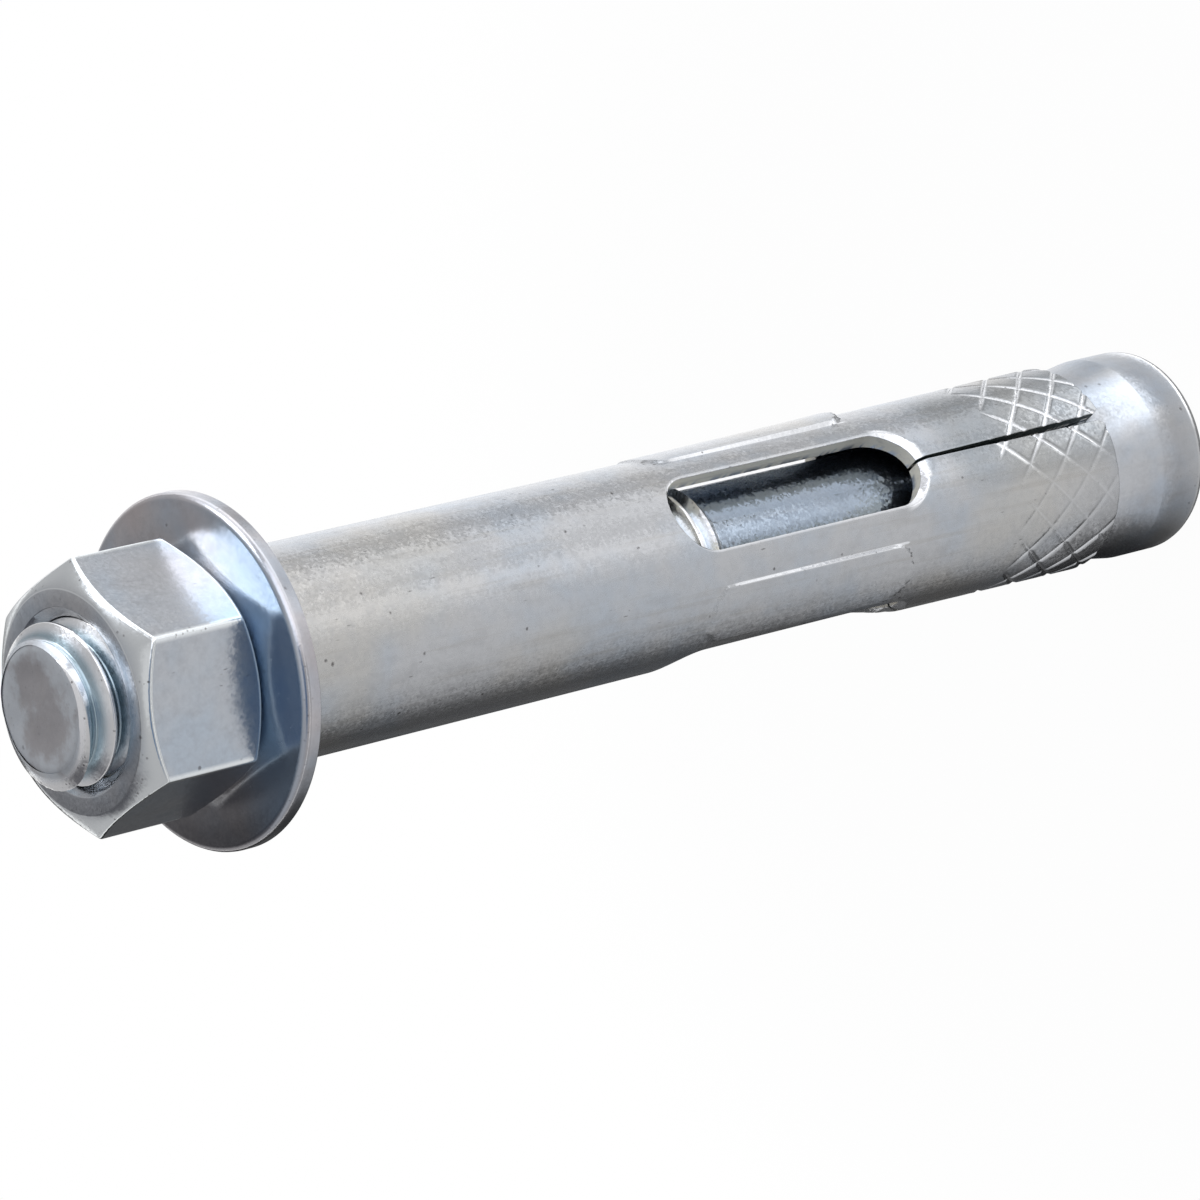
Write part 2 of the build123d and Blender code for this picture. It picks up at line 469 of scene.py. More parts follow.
def nut_outside(angle):
    """The hexagon with both ends turned down to a cone.

    Where cone and flat meet, the edge is a quadratic curve between a point on the cone and one on the flat.
    """
    side = hexagon_radius(angle)
    drop = (side - nut_face_radius) * nut_chamfer_slope
    along = np.array([1.0, nut_chamfer_slope]) / math.hypot(1, nut_chamfer_slope)
    share = np.linspace(0, 1, 5)[:, None]
    radius = side - nut_edge_reach * along[0] * (1 - share) ** 2
    height = drop - nut_edge_reach * along[1] * (1 - share) ** 2 + nut_edge_reach * share**2
    rows = [(nut_mouth_radius, 0.0), (nut_mouth_radius + 0.04, 0.0)]
    rows += [(nut_face_radius + out, fall) for out, fall in nut_face_edge]
    face = np.broadcast_to(np.array(rows)[:, :, None], (len(rows), 2, len(angle)))
    face_radius = np.concatenate([face[:, 0], radius, [side]])
    face_drop = np.concatenate([face[:, 1], height, [drop + nut_edge_reach + nut_edge_margin]])
    corner_radius = nut_across_flats / 2 / math.cos(math.radians(30))
    past_face = (np.arange(len(nut_wear)) >= len(rows))[:, None]
    corner_wear = nut_corner_wear * smooth(0.97, 1.0, side / corner_radius) * past_face
    wear_and_painted_light = np.maximum(np.array(nut_wear)[:, None], corner_wear)
    upper = around(angle, face_radius, nut_top - face_drop)
    lower = around(angle, face_radius, nut_foot + face_drop)
    return grid(np.concatenate([upper, lower[::-1]]), np.concatenate([wear_and_painted_light, wear_and_painted_light[::-1]]))


def nut_bore(angle):
    """The threaded bore: its radius is the greatest of its thread and its two countersunk mouths."""
    angle, height = helical_rows(nut_foot, nut_top, angle)
    bore = thread_radius + thread_play - thread_depth_at(angle, height)
    from_face = np.minimum(nut_top - height, height - nut_foot)
    bore = np.maximum(bore, nut_mouth_radius - from_face)
    # Deeper than 1.5 mm from a face the bore goes to -2, which paints it near black as painted shade
    return grid(around(angle, bore, height), 0.1 - 2.1 * smooth(0.9, 1.5, from_face))


def nut_sheets():
    """The nut's outside and bore on the same columns, which are closer together at its corners."""
    across = np.linspace(-1, 1, 33)[:-1]
    middles = nut_turn + 30 + 60 * np.arange(6)[:, None]
    angle = (middles + 30 * across * (1.5 - 0.5 * across**2)).reshape(-1)
    angle = np.append(angle, angle[0] + 360)
    return [nut_outside(angle), nut_bore(angle)]


def opening_half(height):
    """Half the width of a window and its slit: a slot over a wedge that opens towards the foot."""
    slot = np.sqrt(np.maximum((window_width / 2) ** 2 - past_straight(height) ** 2, 0.0))
    places = [sleeve_foot, sleeve_foot + slit_mouth_depth, window_foot + window_width / 2]
    widths = np.array([slit_mouth_width, slit_tip_width, slit_root_width]) / 2
    return np.maximum(slot, np.interp(height, places, widths, right=0.0))


def rim(distance, radius):
    """How far a quarter round of a radius lies below the surface, at a distance from its edge."""
    inward = radius - np.clip(distance, 0.0, radius)
    return radius - np.sqrt(np.maximum(radius**2 - inward**2, 0.0))


def press(distance, width):
    """Depth of a pressed slope at a distance from a window: straight, with a curved start."""
    share = np.clip(1 - distance / width, 0.0, 1.0)
    return window_press_slope * width * np.where(share < 0.3, share**2 / 0.6, share - 0.15)


def turn_from(angle, place):
    """Signed angle from a place, between -180 and 180."""
    return (angle - place + 180) % 360 - 180


def across_from(angle, place):
    """Distance across the sleeve from the radial plane at a place."""
    return sleeve_radius * np.sin(np.radians(np.clip(np.abs(turn_from(angle, place)), 0, 90)))


def nearest_across(angle, places):
    """The least of the distances across the sleeve from several places."""
    return np.min([across_from(angle, place) for place in places], axis=0)


def past_straight(height):
    """How far a height lies past the straight part of a window, in its round ends or beyond."""
    low, high = window_foot + window_width / 2, window_top - window_width / 2
    return np.maximum(np.maximum(low - height, height - high), 0.0)


def window_distance(angle, height):
    """Distance on the surface from the outline of the nearest window."""
    return np.hypot(nearest_across(angle, window_angles), past_straight(height)) - window_width / 2


def slit_distance(angle, height):
    """Distance on the surface from the side of the nearest slit, large above the slits."""
    across = nearest_across(angle, window_angles)
    return np.where(height < window_foot + 0.5, across - opening_half(height), 9.0)


def panel_depth(angle, height):
    """How far inside the outline of a panel a point lies: a rectangle with a round nose and a cut heel."""
    side = panel_half_width - nearest_across(angle, panel_angles)
    low, high = height - panel_foot, panel_top - height
    nose = panel_nose_radius - np.hypot(
        np.maximum(panel_nose_radius - side, 0), np.maximum(panel_nose_radius - low, 0)
    )
    heel = (side + high - panel_heel_cut) / math.sqrt(2)
    return np.min([side, low, high, nose, heel], axis=0)


def panel_rise(angle, height):
    """Height of the panels over the sleeve, which falls from the cone's end to the washer's end."""
    rise = np.interp(height, [panel_foot, panel_top], [panel_rise_low, panel_rise_high])
    return rise * smooth(0.0, panel_step, panel_depth(angle, height))


def knurl(angle, height):
    """Depth of the crossing V grooves, helices round the sleeve, and how near a point is to one, which later
    paints the groove bright as a painted highlight.
    """
    groove = np.zeros(np.broadcast(angle, height).shape)
    for way, start in ((-1, knurl_rising), (1, knurl_falling)):
        count = (height + way * knurl_lean * angle - start) / knurl_pitch
        off = np.abs(count - np.round(count)) * knurl_spacing
        groove = np.maximum(groove, 1 - np.minimum(off / knurl_groove, 1))
    wander = 0.6 * np.sin(np.radians(3 * angle)) + 0.4 * np.sin(np.radians(7 * angle + 40))
    top = sleeve_foot + knurl_length + wander
    fade = (1 - smooth(top - knurl_fade, top, height)) * (
        knurl_faint
        + (1 - knurl_faint) * smooth(*knurl_faint_reach, np.abs(turn_from(angle, knurl_faint_angle)))
    )
    return fade * knurl_depth * groove, fade * groove


def outer_radius(angle, height):
    """Radius of the sleeve's outside: tube and flare, panels, knurl and rounded edges, and how worn it is,
    with the knurl's grooves counted as worn so that they get a painted highlight.
    """
    angle, height = np.broadcast_arrays(angle, height)
    flared = flare * np.clip((sleeve_foot + finger_length - height) / finger_length, 0, 1)
    pressed = smooth(*window_press_fade, height - window_foot)
    distance = window_distance(angle, height)
    window_edge = press(distance, window_edge_width + (window_press - window_edge_width) * pressed)
    edges = np.maximum(window_edge, rim(slit_distance(angle, height), slit_edge_radius))
    ends = rim(np.minimum(height - sleeve_foot, sleeve_top - height), end_edge_radius)
    depth, near = knurl(angle, height)
    radius = sleeve_radius + flared + panel_rise(angle, height) - depth - np.maximum(edges, ends)
    pressed_wear = np.sqrt(pressed) * smooth(*window_press_wear, distance)
    edge_wear = np.maximum(window_wear * smooth(window_wear_width, 0.0, distance), pressed_wear)
    beside = smooth(panel_foot + 0.2, panel_foot + 0.7, height)
    beside = beside * smooth(panel_top - panel_heel_cut, panel_top - 2, height)
    inward = panel_half_width - nearest_across(angle, panel_angles)
    panel_wear = beside * np.exp(-(((inward - panel_step / 2) / panel_wear_width) ** 2))
    # The knurl's grooves count as worn here, so they are painted bright as a painted highlight
    return radius, np.max([near, edge_wear, panel_wear], axis=0)


def inner_radius(height):
    """Radius of the sleeve's inside: the bore, and below it the taper that fits over the cone."""
    cone = cone_radius - (height - cone_land_top) * cone_slope
    return np.maximum(sleeve_bore, cone + seat_clearance)


def rib_angles(share, height, left, right, radius):
    """Angles of points at a share of the way across a rib, between the edges of the openings beside it."""
    lean = np.degrees(np.arcsin(opening_half(height) / radius))
    return left + lean + share * (right - left - 2 * lean)


def sleeve_heights():
    """Heights of the sleeve's rows over the knurl, along the windows and above, close where a shape ends."""
    turn = np.radians(np.linspace(0, 90, 19))
    end = window_width / 2
    mouth = sleeve_foot + np.array(foot_rows)
    knurled = np.arange(mouth[-1] + knurl_row, sleeve_foot + knurl_length + 0.6, knurl_row)
    plain = np.linspace(knurled[-1] + 0.2, window_foot - 0.15, 12)
    low_end = window_foot + end * (1 - np.cos(turn))
    low_end = np.sort(np.concatenate([low_end, panel_foot + np.array(nose_rows)]))
    straight = crowded(62, low_end[-1], window_top - end, (panel_top,), 0.8, 3.0)[1:-1]
    high_end = window_top - end + end * np.sin(turn)
    above = window_top + np.array(window_top_rows)
    tube = np.linspace(above[-1] + 0.7, sleeve_top - 0.4, 30)
    top = sleeve_top - np.array(sleeve_top_rows)
    fine = np.concatenate([mouth, knurled])
    medium = np.concatenate([plain, low_end, straight, high_end, above])
    coarse = np.concatenate([tube, top])
    return fine, medium, coarse


def column_shares(height, left, right, panel, count):
    """Shares across a rib for each row: even at both ends, and between them close at the panel's sides."""
    reach = math.degrees(math.asin(window_width / 2 / sleeve_radius))
    half = math.degrees(math.asin(panel_half_width / sleeve_radius))
    span = right - left - 2 * reach
    middle = (turn_from(panel, left) - reach) / span
    sides = (middle - half / span, middle + half / span)
    even = crowded(count + 1, 0, 1, (0, 1), 0.02, 2.0)
    close = crowded(count + 1, 0, 1, (0, 0, 1, 1, *sides), 0.035, 2.2)
    part = smooth(sleeve_foot + knurl_length + 0.5, window_foot - 0.5, height)
    part = part * (1 - smooth(window_top + 0.5, window_top + 3, height))
    return even + part[:, None] * (close - even)


def doubled(points):
    """Rows of values with one more between each two."""
    both = np.empty((len(points), 2 * points.shape[1] - 1))
    both[:, ::2] = points
    both[:, 1::2] = (points[:, 1:] + points[:, :-1]) / 2
    return both


def outer_band(share, height, left, right):
    """Points of a rib's outer surface at shares of the way across, and their wear."""
    height = height[:, None]
    angle = rib_angles(share, height, left, right, sleeve_radius)
    radius, wear_and_painted_light = outer_radius(angle, height)
    return around(angle, radius, height), wear_and_painted_light


def rib_wall(place, side, height):
    """Points of the cut wall on one side of an opening, from outside to inside, and their wear."""
    outer_lean = np.degrees(np.arcsin(opening_half(height) / sleeve_radius))
    inner_lean = np.degrees(np.arcsin(opening_half(height) / inner_radius(height)))
    edge = outer_radius(place + side * outer_lean, height)[0]
    depth = np.array([0.0, 0.04, 0.5, 1.0])
    radius = edge + depth * (inner_radius(height) - edge)
    lean = outer_lean + depth * (inner_lean - outer_lean)
    inward = np.minimum(depth * 25, 1)
    # Inside a slit the wall goes to -2, which paints it near black as painted shade
    return around(place + side * lean, radius, height), -inward * (1 + (height < window_foot - 0.05))


def top_ring(outer):
    """Points of the sleeve's top end just inside its outer edge."""
    return outer * (0.985, 0.985, 1.0)


def sleeve_sheets():
    """Three ribs between the openings, each with an outer surface, two cut walls and an inner surface.

    The outer surface has most columns over the knurl, half as many along the windows and half again above.
    """
    fine, medium, coarse = sleeve_heights()
    wall_heights = np.concatenate([fine, medium[medium <= window_top + 1e-6]])[:, None]
    bore_heights = np.linspace(window_top + 2, sleeve_top - 0.1, 12)
    bore_heights = np.concatenate([wall_heights[-1], bore_heights, [sleeve_top]])[:, None]
    across = np.linspace(0, 1, bore_columns + 1)
    sheets = []
    edges = [*window_angles, window_angles[0] + 360]
    for left, right in zip(edges[:-1], edges[1:]):
        panel = next(place for place in panel_angles if 0 < (place - left) % 360 < right - left)
        bands = (fine, medium, coarse)
        shares = [column_shares(height, left, right, panel, rib_columns) for height in bands]
        knurled, knurl_wear_and_sheen = outer_band(doubled(shares[0]), fine, left, right)
        windowed, window_wear = outer_band(shares[1], medium, left, right)
        plain, plain_wear = outer_band(shares[2][:, ::2], coarse, left, right)
        sheets += [grid(knurled, knurl_wear_and_sheen), halving(knurled[-1], windowed[0])]
        sheets += [grid(windowed, window_wear), halving(windowed[-1], plain[0]), grid(plain, plain_wear)]
        angle = rib_angles(across, wall_heights, left, right, inner_radius(wall_heights))
        bore = around(angle, inner_radius(wall_heights), wall_heights)
        lined = around(left + across * (right - left), inner_radius(bore_heights), bore_heights)
        end = top_ring(plain[-1][::2])
        sheets += [grid(bore), grid(lined), halving(plain[-1], end), grid(np.stack([end, lined[-1]]))]
        left_wall, left_wear = rib_wall(left, 1, wall_heights)
        right_wall, right_wear = rib_wall(right, -1, wall_heights)
        sheets += [grid(left_wall, left_wear), grid(right_wall, right_wear)]
        foot = [knurled[0], right_wall[0][1:], bore[0][::-1][1:], left_wall[0][::-1][1:-1]]
        sheets.append(cap(np.concatenate(foot)))
    return sheets


class Value:
    """A socket of a shader that can stand in a Python expression: each operator adds one Math node."""

    def __init__(self, finish, socket):
        self.finish, self.socket = finish, socket

    def __add__(self, other):
        return self.finish.math("ADD", self, other)

    def __radd__(self, other):
        return self.finish.math("ADD", other, self)

    def __sub__(self, other):
        return self.finish.math("SUBTRACT", self, other)

    def __rsub__(self, other):
        return self.finish.math("SUBTRACT", other, self)

    def __mul__(self, other):
        return self.finish.math("MULTIPLY", self, other)

    def __rmul__(self, other):
        return self.finish.math("MULTIPLY", other, self)

    def __pow__(self, other):
        return self.finish.math("POWER", self, other)


class Finish:
    """The node tree of a material or of the world, whose nodes are all made by its node method."""

    def __init__(self, owner):
        self.owner = owner
        owner.use_nodes = True
        self.tree = owner.node_tree
        self.tree.nodes.clear()

    def node(self, kind, settings=None, values=None, output=0):
        made = self.tree.nodes.new(kind)
        for name, setting in (settings or {}).items():
            setattr(made, name, setting)
        for name, value in (values or {}).items():
            if isinstance(value, Value):
                self.tree.links.new(value.socket, made.inputs[name])
            else:
                made.inputs[name].default_value = value
        return Value(self, made.outputs[output]) if made.outputs else None

    def math(self, operation, first, second):
        """Two numbers put together by a Math node."""
        return self.node("ShaderNodeMath", {"operation": operation}, {0: first, 1: second})

    def vector(self, operation, first, second):
        """Two vectors put together by a Vector Math node."""
        return self.node("ShaderNodeVectorMath", {"operation": operation}, {0: first, 1: second})

    def split(self, vector):
        """The three parts of a vector."""
        return [self.node("ShaderNodeSeparateXYZ", values={0: vector}, output=part) for part in "XYZ"]

    def scaled(self, scale=1.0):
        """Object coordinates in cycles: times a scale in cycles a millimetre, or one for each axis."""
        scale = (scale,) * 3 if np.isscalar(scale) else scale
        place = self.node("ShaderNodeTexCoord", output="Object")
        return self.vector("MULTIPLY", place, [factor / MM for factor in scale])

    def noise(self, scale, detail, roughness, seed):
        """Cloudy values about 0.5."""
        place = self.vector("ADD", self.scaled(scale), (seed * 7.3, -seed * 5.1, seed * 3.7))
        values = {"Vector": place, "Scale": 1.0, "Detail": detail, "Roughness": roughness}
        return self.node("ShaderNodeTexNoise", values=values)

    def cells(self, scale, output):
        """Voronoi cells: the distance of a point from the middle of its cell, or the cell's own colour."""
        values = {"Vector": self.scaled(scale), "Scale": 1.0, "Randomness": 1.0}
        return self.node("ShaderNodeTexVoronoi", values=values, output=output)

    def highest(self, first, second):
        """The larger of two values."""
        return self.math("MAXIMUM", first, second)

    def marks(self, scale, radius, rarity, seed):
        """1 inside small scattered spots: some cells of a pattern, out to a ragged radius in cells."""
        ragged = self.noise(ragged_scale, 2.0, 0.6, seed) * (1.6 * radius)
        spot = self.step(1.5 * radius, 0.5 * radius, self.cells(scale, "Distance") + ragged - 0.8 * radius)
        return spot * self.step(rarity, rarity + 0.03, self.noise(rarity_scale, 1.0, 0.5, seed))

    def facets(self, scale, tilt):
        """The surface's normal, tilted a little at random in each crystal of the plate."""
        lean = self.vector("SUBTRACT", self.cells(scale, "Color"), (0.5, 0.5, 0.5))
        lean = self.node("ShaderNodeVectorMath", {"operation": "SCALE"}, {0: lean, "Scale": tilt})
        leaning = self.vector("ADD", self.node("ShaderNodeNewGeometry", output="Normal"), lean)
        return self.node("ShaderNodeVectorMath", {"operation": "NORMALIZE"}, {0: leaning})

    def step(self, low, high, value):
        """0 where the value is below low, 1 above high and an S between, or reversed if low is above."""
        settings = {"interpolation_type": "SMOOTHSTEP"}
        low, high, start, end = (low, high, 0.0, 1.0) if low < high else (high, low, 1.0, 0.0)
        ends = {"From Min": low, "From Max": high, "To Min": start, "To Max": end}
        return self.node("ShaderNodeMapRange", settings, {"Value": value, **ends})

    def blend(self, share, first, second):
        """Two colours mixed by a share."""
        settings = {"data_type": "RGBA", "blend_type": "MIX", "clamp_factor": True}
        first, second = [value if isinstance(value, Value) else (*value, 1.0) for value in (first, second)]
        return self.node("ShaderNodeMix", settings, {0: share, 6: first, 7: second}, output=2)

    def output(self, shader, kind="ShaderNodeOutputMaterial"):
        self.node(kind, values={"Surface": shader})
        return self.owner


def shaded(colour, share):
    """A colour times a share, white at most."""
    return tuple(min(1.0, share * part) for part in colour)


class Plate(Finish):
    """Clear zinc plate: satin metal with cool and warm patches, crystal grain, yellower cuts, and painted
    shade that makes the slits and the nut's deep bore near black.

    The wear comes from the mesh. What one layer paints lies over all the layers before it.
    """

    def __init__(self, name, base, cool, warm, roughness, grain):
        super().__init__(bpy.data.materials.new(name))
        self.base, self.warm, self.colour = base, warm, base
        self.x, self.y, self.z = self.split(self.scaled())
        self.mottle = self.noise(mottle_scale, 4.0, 0.65, 3.0)
        edge = self.node("ShaderNodeAttribute", {"attribute_name": "wear_and_painted_light"}, output="Fac")
        self.wear_and_painted_light = self.highest(edge, 0.0)
        self.cut = self.step(0.0, 1.0, edge * -1.0)
        self.paint(self.step(0.4, 0.66, self.noise(patch_scale, 3.0, 0.6, 1.0)), cool)
        self.paint(self.step(0.5, 0.7, self.noise(tarnish_scale, 2.0, 0.5, 7.0)) * 0.7, warm)
        self.paint(self.step(0.4, 0.75, self.mottle) * 0.3, shaded(base, 0.75))
        self.paint(self.step(0.52, 0.75, self.noise(smudge_scale, 3.0, 0.6, 15.0)) * 0.35, shaded(base, 0.7))
        self.paint(self.cut * 0.9, cut_colour)
        # Painted shade: near black deep in the slits and in the nut's bore
        self.paint(self.step(1.0, 1.6, edge * -1.0), crevice_shade_colour)
        self.height = self.noise(fine_scale, 2.0, 0.6, 5.0) * (0.006 * grain) + self.mottle * (0.012 * grain)
        self.rough = roughness + (self.mottle - 0.5) * 0.12 - self.wear_and_painted_light * 0.08
        self.tilt = 0.1 * grain

    def paint(self, share, colour):
        """The colour so far, mixed with another by a share."""
        self.colour = self.blend(share, self.colour, colour)

    def towards(self, angle):
        """Distance out from the axis, measured towards an angle."""
        return self.x * math.cos(math.radians(angle)) + self.y * math.sin(math.radians(angle))

    def paint_shade_and_reflection(self):
        """Painted shade on one side of the washer, and beside it a bluish painted reflection of the nut on
        the top alone.
        """
        # Painted shade: darker towards one side of the washer
        self.paint(self.step(3.5, 11.0, self.towards(painted_shade_angle) + self.mottle * 2.0) * 0.75, painted_shade_colour)
        # Painted reflection: a bluish patch on the top, where it reflects the nut
        blued = self.step(3.0, 7.5, self.towards(painted_shade_angle + 90) + self.mottle)
        blued = blued * self.step(washer_top - 0.4, washer_top - 0.22, self.z)
        self.paint(blued * 0.7, nut_reflection_colour)

    def bar(self):
        """The stud's drawn shank, the thread painted paler and bluish white as a painted highlight, the
        blued root of its last turn and the sawn end.
        """
        shank = self.step(sleeve_foot + 6.0, sleeve_foot + 9.0, self.z)
        shank = shank * self.step(thread_foot, thread_foot - 1.0, self.z)
        self.paint(shank * 0.8, bar_colour)
        self.tilt = shank * 0.12 + self.tilt
        # Painted highlight: the thread is painted near white and bluish
        self.paint(self.step(thread_foot - 1.2, thread_foot - 0.9, self.z) * 0.85, thread_highlight_colour)
        reach = self.x * self.x + self.y * self.y
        root = self.step(21.0, 16.5, reach) * self.step(nut_top - 2.0, nut_top, self.z)
        root = root * self.step(stud_top - 0.62, stud_top - 0.78, self.z)
        self.paint(root * 0.65, root_colour)
        sawn = self.step(stud_top - 0.3, stud_top - 0.12, self.z)
        centre = self.step(13.0, 0.0, reach) * 0.24 - 0.12
        patchy = self.step(0.38, 0.62, self.noise(sawn_scale, 4.0, 0.6, 41.0) + centre)
        self.paint(sawn * 0.85, self.blend(patchy, *sawn_colours))
        self.cut = self.highest(self.cut, sawn * 0.6)

    def draw(self, amount):
        """Marks and streaks of drawing along the axis."""
        drawn = self.noise(drawn_scale, 2.0, 0.6, 9.0)
        streak = self.step(0.5, 0.7, self.noise(streak_scale, 3.0, 0.6, 19.0))
        self.paint(streak * (0.3 * amount), shaded(self.warm, 0.72))
        self.height = self.height + drawn * (0.01 * amount)
        self.rough = self.rough + (drawn - 0.5) * (0.1 * amount)

    def grooves(self):
        """Share of the knurl's depth: the same crossing V grooves as in the mesh, unevenly pressed."""
        angle = self.math("ARCTAN2", self.x * -1.0, self.y) * math.degrees(1) + 90.0
        depth = 0.0
        for way, start in ((-1, knurl_rising), (1, knurl_falling)):
            count = (self.z + angle * (way * knurl_lean) - start) * (1 / knurl_pitch)
            off = self.math("PINGPONG", count, 0.5)
            depth = self.highest(depth, 1.0 - off * (knurl_spacing / knurl_groove))
        top = sleeve_foot + knurl_length - 0.4
        ragged = self.noise(knurl_end_scale, 1.0, 0.5, 31.0) * 2.0 - 1.0
        fade = self.step(top, top - knurl_fade, self.z + ragged)
        pressed = self.step(0.3, 0.6, self.noise(knurl_press_scale, 2.0, 0.5, 37.0)) * 0.8 + 0.2
        # the angle runs from -90 to 270, and only a part of that near the faintest place matters
        away = self.node("ShaderNodeMath", {"operation": "ABSOLUTE"}, {0: angle - (knurl_faint_angle + 360)})
        faint = self.step(*knurl_faint_reach, away) * (1 - knurl_faint) + knurl_faint
        return depth * fade * pressed * faint

    def roll(self):
        """The sleeve's knurl, with greyer plate and coarser crystals on one side of the sleeve."""
        facing = self.towards(rolled_angle) * (1 / sleeve_radius)
        below = self.step(window_foot + 0.3, window_foot - 2.5, self.z + self.mottle * 3.0)
        self.paint(self.step(0.74, 0.93, facing) * below * (1.0 - self.cut) * 0.55, rolled_colour)
        self.height = self.height - self.grooves() * (1.0 - self.cut) * (0.6 * knurl_depth)
        self.tilt = self.step(0.9, 0.97, facing) * 0.1 + 0.085

    def wear_off_and_sheen(self, pits):
        """Bright metal on worn edges and, as a painted highlight, in the knurl's grooves, and the dark pits,
        scratches and chips.
        """
        self.paint(self.step(0.12, 0.75, self.wear_and_painted_light), shaded(self.base, bright_share))
        pit = self.marks(pit_scale, 0.1, 0.6, 11.0) * pits
        scratch = self.marks(scratch_scale, 0.09, 0.6, 23.0) * (0.7 * pits)
        chip = self.marks(chip_scale, 0.16, 0.52, 29.0) * self.wear_and_painted_light
        self.paint(self.highest(self.highest(pit, scratch), chip) * 0.8, dirt_colour)

    def finished(self):
        """The material, with the bump of its height over the crystals' normals."""
        facets = self.facets(crystal_scale, self.tilt)
        values = {"Strength": 1.0, "Distance": MM, "Height": self.height, "Normal": facets}
        bump = self.node("ShaderNodeBump", values=values)
        values = {"Base Color": self.colour, "Metallic": 1.0 - self.cut * 0.6}
        values.update({"Roughness": self.rough + self.cut * 0.25, "Normal": bump})
        return self.output(self.node("ShaderNodeBsdfPrincipled", values=values))


def stud_plate():
    plate = Plate(
        "stud_plate",
        base=(0.64, 0.65, 0.67),
        cool=(0.56, 0.62, 0.7),
        warm=(0.66, 0.62, 0.56),
        roughness=0.24,
        grain=0.5,
    )
    plate.bar()
    plate.draw(0.3)
    plate.wear_off_and_sheen(0.6)
    return plate.finished()


def sleeve_plate():
    plate = Plate(
        "sleeve_plate",
        base=(0.6, 0.605, 0.615),
        cool=(0.54, 0.58, 0.63),
        warm=(0.62, 0.595, 0.55),
        roughness=0.27,
        grain=1.0,
    )
    plate.draw(1.0)
    plate.roll()
    plate.wear_off_and_sheen(1.0)
    return plate.finished()


def washer_plate():
    plate = Plate(
        "washer_plate",
        base=(0.57, 0.55, 0.56),
        cool=(0.5, 0.54, 0.6),
        warm=(0.58, 0.51, 0.5),
        roughness=0.25,
        grain=0.35,
    )
    # Painted shade on one side and a bluish painted reflection of the nut
    plate.paint_shade_and_reflection()
    plate.wear_off_and_sheen(0.6)
    return plate.finished()


def nut_plate():
    plate = Plate(
        "nut_plate",
        base=(0.6, 0.62, 0.65),
        cool=(0.55, 0.61, 0.68),
        warm=(0.6, 0.59, 0.59),
        roughness=0.22,
        grain=0.4,
    )
    plate.wear_off_and_sheen(0.8)
    return plate.finished()


def floor_finish():
    """White to the camera and in reflections, with a share of plain paint for the shadow round the foot."""
    finish = Finish(bpy.data.materials.new("pale_floor"))
    rays = ("Is Camera Ray", "Is Glossy Ray", "Is Transmission Ray")
    seen, mirrored, through = (finish.node("ShaderNodeLightPath", output=kind) for kind in rays)
    paint = finish.node("ShaderNodeBsdfDiffuse", values={"Color": shadow_colour})
    glow = finish.node("ShaderNodeEmission", values={"Color": (1.0, 1.0, 1.0, 1.0), "Strength": 1.0})
    x, y = finish.split(finish.scaled())[:2]
    far = finish.step(shadow_reach[0] ** 2, shadow_reach[1] ** 2, x * x + y * y)
    share = (seen + mirrored + through) * (far * floor_paint + (1 - floor_paint))
    return finish.output(finish.node("ShaderNodeMixShader", values={0: share, 1: paint, 2: glow}))


def new_object(name, data):
    """An object linked to the scene."""
    made = bpy.data.objects.new(name, data)
    bpy.context.scene.collection.objects.link(made)
    return made


def make_floor():
    size = floor_size * MM
    corners = [(-size, -size, 0), (size, -size, 0), (size, size, 0), (-size, size, 0)]
    mesh = bpy.data.meshes.new("floor")
    mesh.from_pydata(corners, [], [(0, 1, 2, 3)])
    mesh.materials.append(floor_finish())
    floor = new_object("floor", mesh)


def make_cards():
    """A ring of card lying round the foot, which only reflections see: pale on one side, dark on the other.

    Its points lie on circles, whose brightness is interpolated from a table by azimuth. The cone's foot
    reflects the inner rings, its taper the next and the sleeve most of the rest.
    """
    azimuth = np.linspace(-180, 180, 361)
    tables = np.array([np.interp(azimuth, places, shades, period=360) for places, shades in card_tables])
    radii = np.array(card_radii)[:, None]
    points, faces, shade = grid(around(azimuth - 90, radii, card_height), tables[list(card_rings)])
    mesh = bpy.data.meshes.new("cards")
    mesh.from_pydata((points * MM).tolist(), [], faces.tolist())
    glow = mesh.attributes.new("glow", "FLOAT_COLOR", "POINT")
    colours = np.stack([shade, shade, shade, np.ones(len(shade))], axis=1) * card_tint
    glow.data.foreach_set("color", colours.astype(np.float32).reshape(-1))
    finish = Finish(bpy.data.materials.new("card"))
    brightness = finish.node("ShaderNodeAttribute", {"attribute_name": "glow"}, output="Color")
    glowing = finish.node("ShaderNodeEmission", values={"Color": brightness, "Strength": 1.0})
    mesh.materials.append(finish.output(glowing))
    cards = new_object("cards", mesh)
    for kind in ("camera", "diffuse", "transmission", "volume_scatter", "shadow"):
        setattr(cards, "visible_" + kind, False)


def direction(azimuth, elevation):
    """Unit vector out from the object: azimuth 0 is towards -Y and turns counter-clockwise from above."""
    a, e = math.radians(azimuth), math.radians(elevation)
    return Vector((math.sin(a) * math.cos(e), -math.cos(a) * math.cos(e), math.sin(e)))


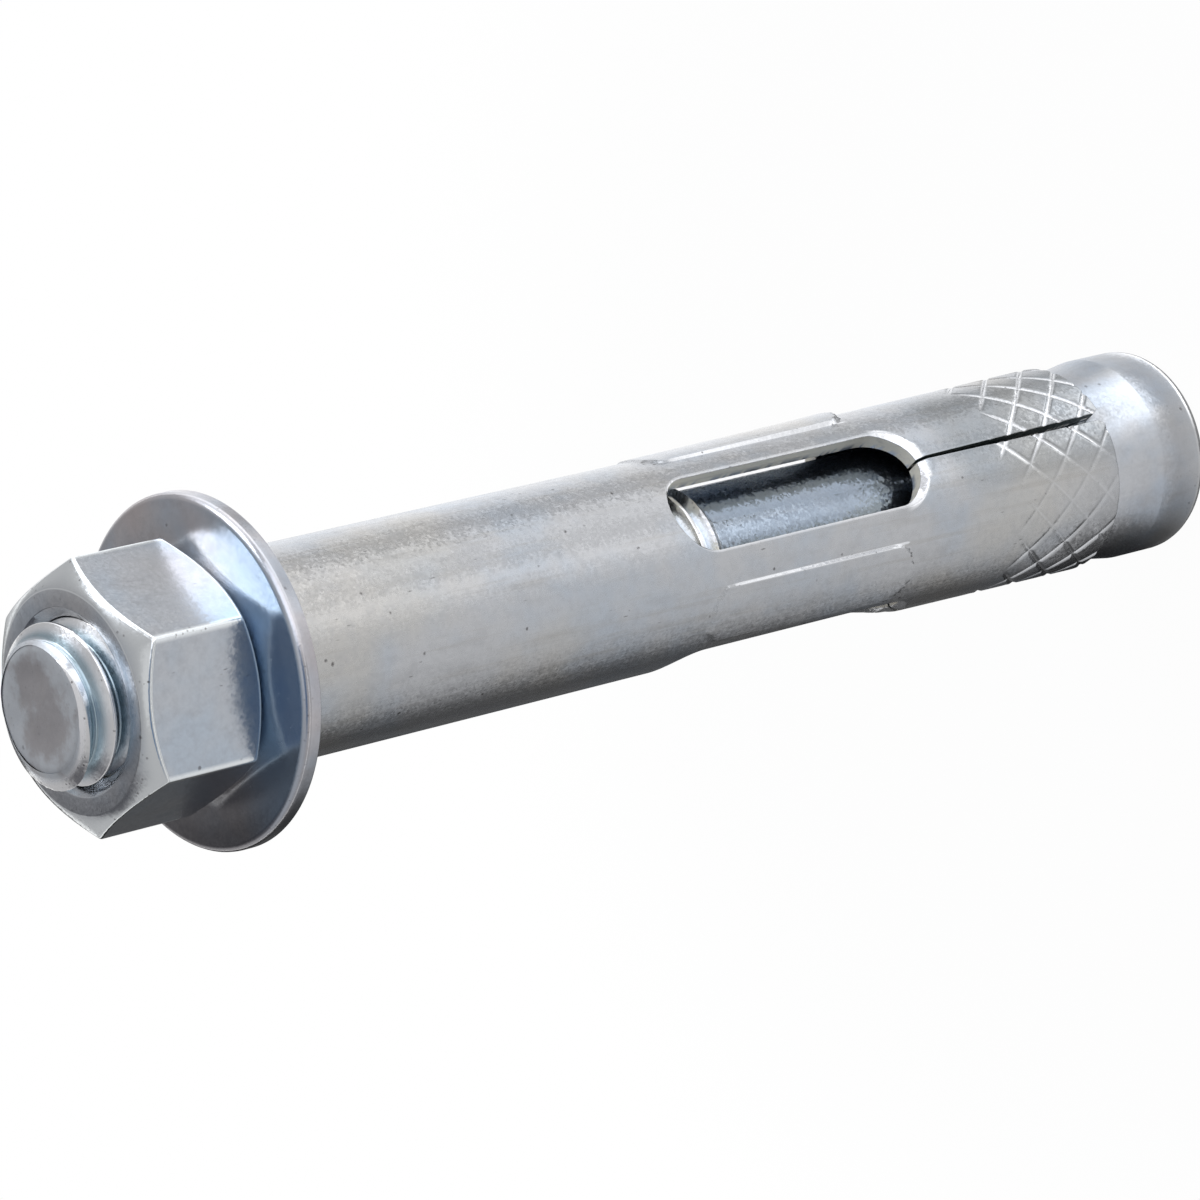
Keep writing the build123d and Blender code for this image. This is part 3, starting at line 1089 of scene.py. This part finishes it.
def make_lamp(name, azimuth, elevation, distance, width, height, brightness):
    """A rectangular white lamp that faces the object, with its brightness as a share of white."""
    data = bpy.data.lights.new(name, "AREA")
    data.shape, data.size, data.size_y = "RECTANGLE", width * MM, height * MM
    data.energy = brightness * math.pi * data.size * data.size_y
    lamp = new_object(name, data)
    out = direction(azimuth, elevation)
    lamp.location = (Vector(camera_aim) + out * distance) * MM
    lamp.rotation_mode = "QUATERNION"
    lamp.rotation_quaternion = out.to_track_quat("Z", "Y")


def make_world():
    """A plain grey sky with soft upright panels, two of them light and two dim."""
    finish = Finish(bpy.data.worlds.new("studio"))
    x, y, z = finish.split(finish.node("ShaderNodeTexCoord", output="Generated"))
    colour = sky_grey
    level = (x * x + y * y + 0.0001) ** -0.5
    for azimuth, shade, low, high in sky_panels:
        way = direction(azimuth, 0)
        across = finish.step(*sky_panel_edge, (x * way.x + y * way.y) * level)
        upright = finish.step(low, low + sky_panel_fade, z) * finish.step(high, high - sky_panel_fade, z)
        colour = finish.blend(across * upright, colour, shade)
    shader = finish.node("ShaderNodeBackground", values={"Color": colour, "Strength": 1.0})
    bpy.context.scene.world = finish.output(shader, "ShaderNodeOutputWorld")


def make_lights():
    make_lamp("key", azimuth=70, elevation=37, distance=600, width=340, height=280, brightness=2.6)
    make_lamp("fill", azimuth=-30, elevation=70, distance=900, width=500, height=500, brightness=0.15)


def make_camera():
    data = bpy.data.cameras.new("camera")
    data.lens, data.sensor_width = camera_lens, sensor_width
    data.clip_start, data.clip_end = 0.01, 20.0
    camera = new_object("camera", data)
    back = direction(camera_azimuth, camera_elevation)
    camera.location = (Vector(camera_aim) + back * camera_distance) * MM
    camera.rotation_mode = "QUATERNION"
    roll = Quaternion((0, 0, 1), math.radians(camera_roll))
    camera.rotation_quaternion = back.to_track_quat("Z", "Y") @ roll
    bpy.context.scene.camera = camera


bpy.context.scene.view_settings.view_transform = "Standard"
make_camera()
make_floor()
make_cards()
make_world()
make_lights()

make_piece("stud", [shank_sheet(), thread_sheet(), tip_sheet()], "stud", stud_plate())
make_piece("sleeve", sleeve_sheets(), "sleeve", sleeve_plate())
make_piece("washer", washer_sheets(), "washer", washer_plate())
make_piece("hex_nut", nut_sheets(), "nut", nut_plate(), crease=60.0)
